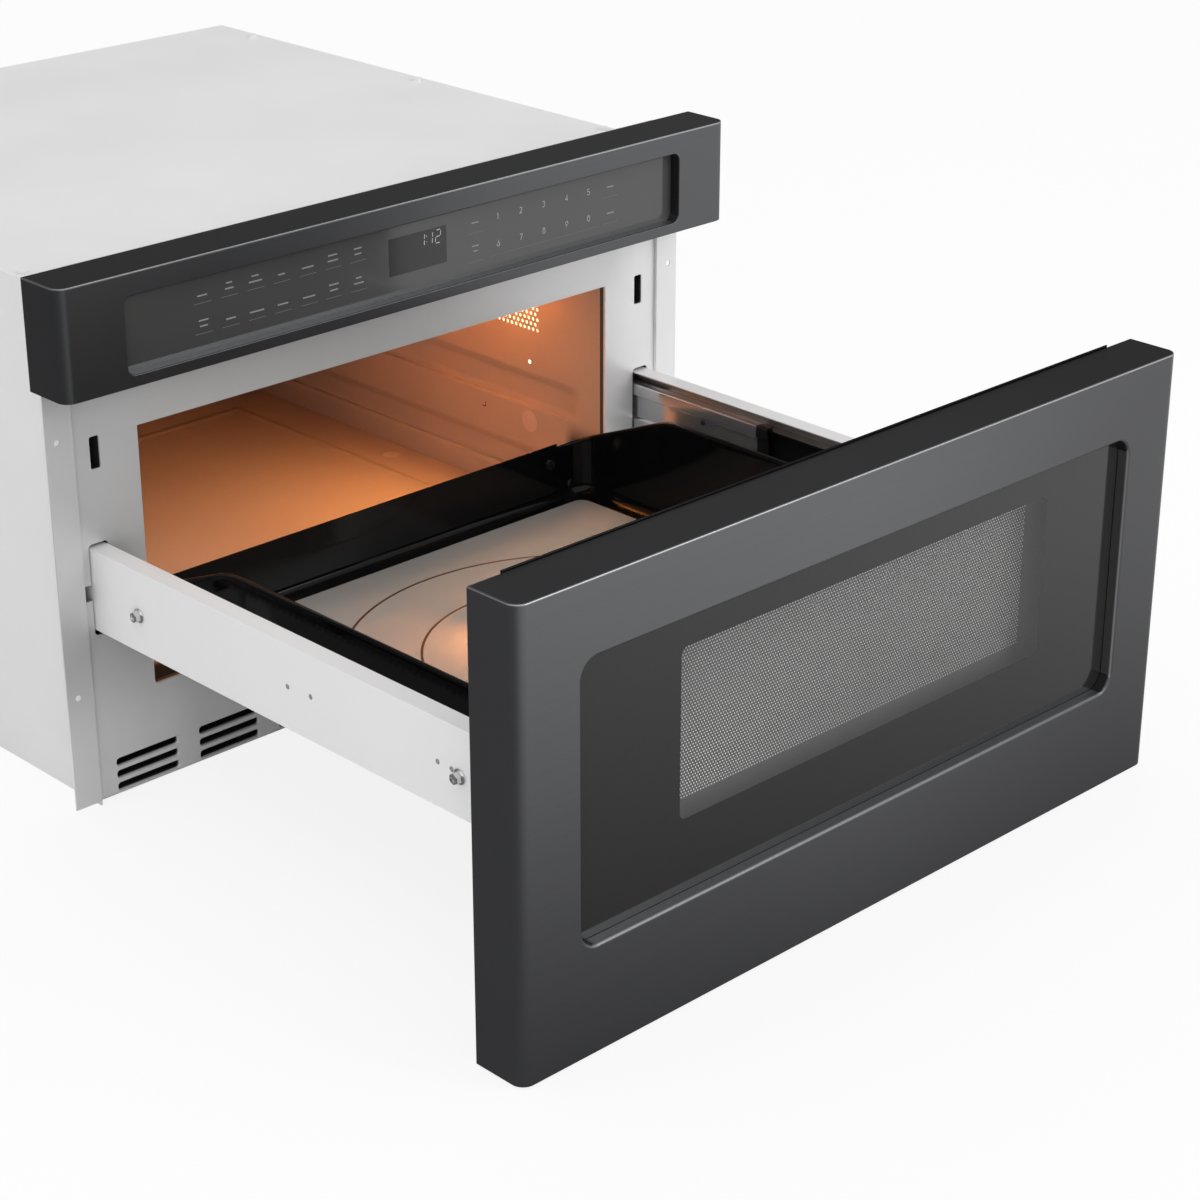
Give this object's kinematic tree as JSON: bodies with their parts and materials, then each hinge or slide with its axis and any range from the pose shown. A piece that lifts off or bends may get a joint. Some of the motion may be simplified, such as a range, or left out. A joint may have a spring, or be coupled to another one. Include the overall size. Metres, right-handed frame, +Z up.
{
  "type": "microwave drawer",
  "caption": "Built-in microwave oven whose dark brushed front, rails and black cooking tray slide out together as a drawer below a touch control panel.",
  "frame": {"origin": "on the floor of the case's recess, under the middle of the whole object with the drawer open", "axes": "+X to the right when one faces the front, +Y back into the case, +Z up; the drawer opens toward -Y"},
  "size_m": [0.606, 1.0204, 0.391],
  "materials": {
    "case_steel": "satin zinc coated sheet",
    "rail_steel": "satin coated steel",
    "bright_steel": "bright plated",
    "front_steel": "dark brushed, fine vertical grain",
    "front_glass": "dark glossy printed glass",
    "clear_glass": "clear",
    "enamel": "glossy black enamel",
    "oven_paint": "satin oven paint",
    "tray_glass": "glossy opaque glass",
    "dark_plastic": "matt",
    "pale_plastic": "matt",
    "display": "glossy",
    "board": "matt",
    "copper": "bare copper",
    "lamp": "lit warm"
  },
  "bodies": {
    "cabinet": {"front_plate": "case_steel", "side_panel_left": "case_steel", "side_panel_right": "case_steel", "top_panel": "case_steel", "base_plate": "case_steel", "rear_panel": "case_steel", "cavity_shell": "oven_paint", "waveguide_cover": "pale_plastic", "waveguide": "case_steel", "magnetron": "case_steel", "magnetron_fins": "copper", "stirrer_motor": "dark_plastic", "inverter_board": "board", "inverter_transformer": "dark_plastic", "inverter_heatsink": "case_steel", "fan_housing": "dark_plastic", "fan_motor": "case_steel", "lamp_bulb": "lamp", "lamp_housing": "case_steel", "thermal_cutouts": "dark_plastic", "power_inlet": "dark_plastic", "panel_skin": "front_steel", "panel_chassis": "pale_plastic", "panel_glass": "front_glass", "display_module": "display", "control_board": "board", "slide_channel_left": "rail_steel", "slide_channel_right": "rail_steel", "slide_brackets": "case_steel", "drive_motor": "case_steel", "gear_plates": "case_steel", "latch_switches": "pale_plastic", "case_screws": "bright_steel"},
    "drawer": {"door_skin": "front_steel", "door_glass": "front_glass", "window_screen": "dark_plastic", "door_inner_panel": "enamel", "inner_window": "clear_glass", "choke_cover": "dark_plastic", "door_brackets": "case_steel", "rail_left": "rail_steel", "rail_right": "rail_steel", "slide_inner_left": "rail_steel", "slide_inner_right": "rail_steel", "rack_left": "pale_plastic", "rack_right": "pale_plastic", "tray": "enamel", "tray_plate": "tray_glass", "tray_back_panel": "enamel", "latch_hooks": "bright_steel", "rail_bolts": "bright_steel", "tray_screws": "bright_steel"},
    "slide_mid_left": {"slide_mid_left": "rail_steel"},
    "slide_mid_right": {"slide_mid_right": "rail_steel"},
    "idler_gear_left": {"idler_gear_left": "pale_plastic"},
    "idler_gear_right": {"idler_gear_right": "pale_plastic"},
    "drive_shaft": {"drive_shaft": "bright_steel"},
    "motor_pinion": {"motor_pinion": "bright_steel"},
    "fan_wheel": {"fan_wheel": "pale_plastic"},
    "stirrer": {"stirrer": "bright_steel"}
  },
  "joints": [
    {"name": "drawer_slide", "type": "slide", "parent": "cabinet", "child": "drawer", "axis": [0, 1, 0], "range_m": [0, 0.423]},
    {"name": "slide_mid_left_slide", "type": "slide", "parent": "cabinet", "child": "slide_mid_left", "axis": [0, 1, 0], "range_m": [0, 0.2115]},
    {"name": "slide_mid_right_slide", "type": "slide", "parent": "cabinet", "child": "slide_mid_right", "axis": [0, 1, 0], "range_m": [0, 0.2115]},
    {"name": "idler_left_spin", "type": "hinge", "parent": "cabinet", "child": "idler_gear_left", "pos_m": [0, 0.00425, 0.095], "axis": [1, 0, 0], "range_deg": [-638, 0]},
    {"name": "idler_right_spin", "type": "hinge", "parent": "cabinet", "child": "idler_gear_right", "pos_m": [0, 0.00425, 0.095], "axis": [1, 0, 0], "range_deg": [-638, 0]},
    {"name": "drive_shaft_spin", "type": "hinge", "parent": "cabinet", "child": "drive_shaft", "pos_m": [0, 0.00425, 0.041], "axis": [1, 0, 0], "range_deg": [0, 1515]},
    {"name": "motor_pinion_spin", "type": "hinge", "parent": "cabinet", "child": "motor_pinion", "pos_m": [0, 0.03325, 0.041], "axis": [1, 0, 0], "range_deg": [-4761, 0]},
    {"name": "fan_spin", "type": "hinge", "parent": "cabinet", "child": "fan_wheel", "pos_m": [-0.118, 0.44125, 0.327], "axis": [1, 0, 0], "continuous": true},
    {"name": "stirrer_spin", "type": "hinge", "parent": "cabinet", "child": "stirrer", "pos_m": [0, 0.17925, 0.28], "axis": [0, 0, 1], "continuous": true}
  ],
  "couplings": [
    {"joint": "slide_mid_left_slide", "follows": "drawer_slide", "ratio": 0.5},
    {"joint": "slide_mid_right_slide", "follows": "drawer_slide", "ratio": 0.5},
    {"joint": "idler_left_spin", "follows": "drawer_slide", "rad_per_m": -26.316},
    {"joint": "idler_right_spin", "follows": "drawer_slide", "rad_per_m": -26.316},
    {"joint": "drive_shaft_spin", "follows": "drawer_slide", "rad_per_m": 62.5},
    {"joint": "motor_pinion_spin", "follows": "drawer_slide", "rad_per_m": -196.43}
  ]
}
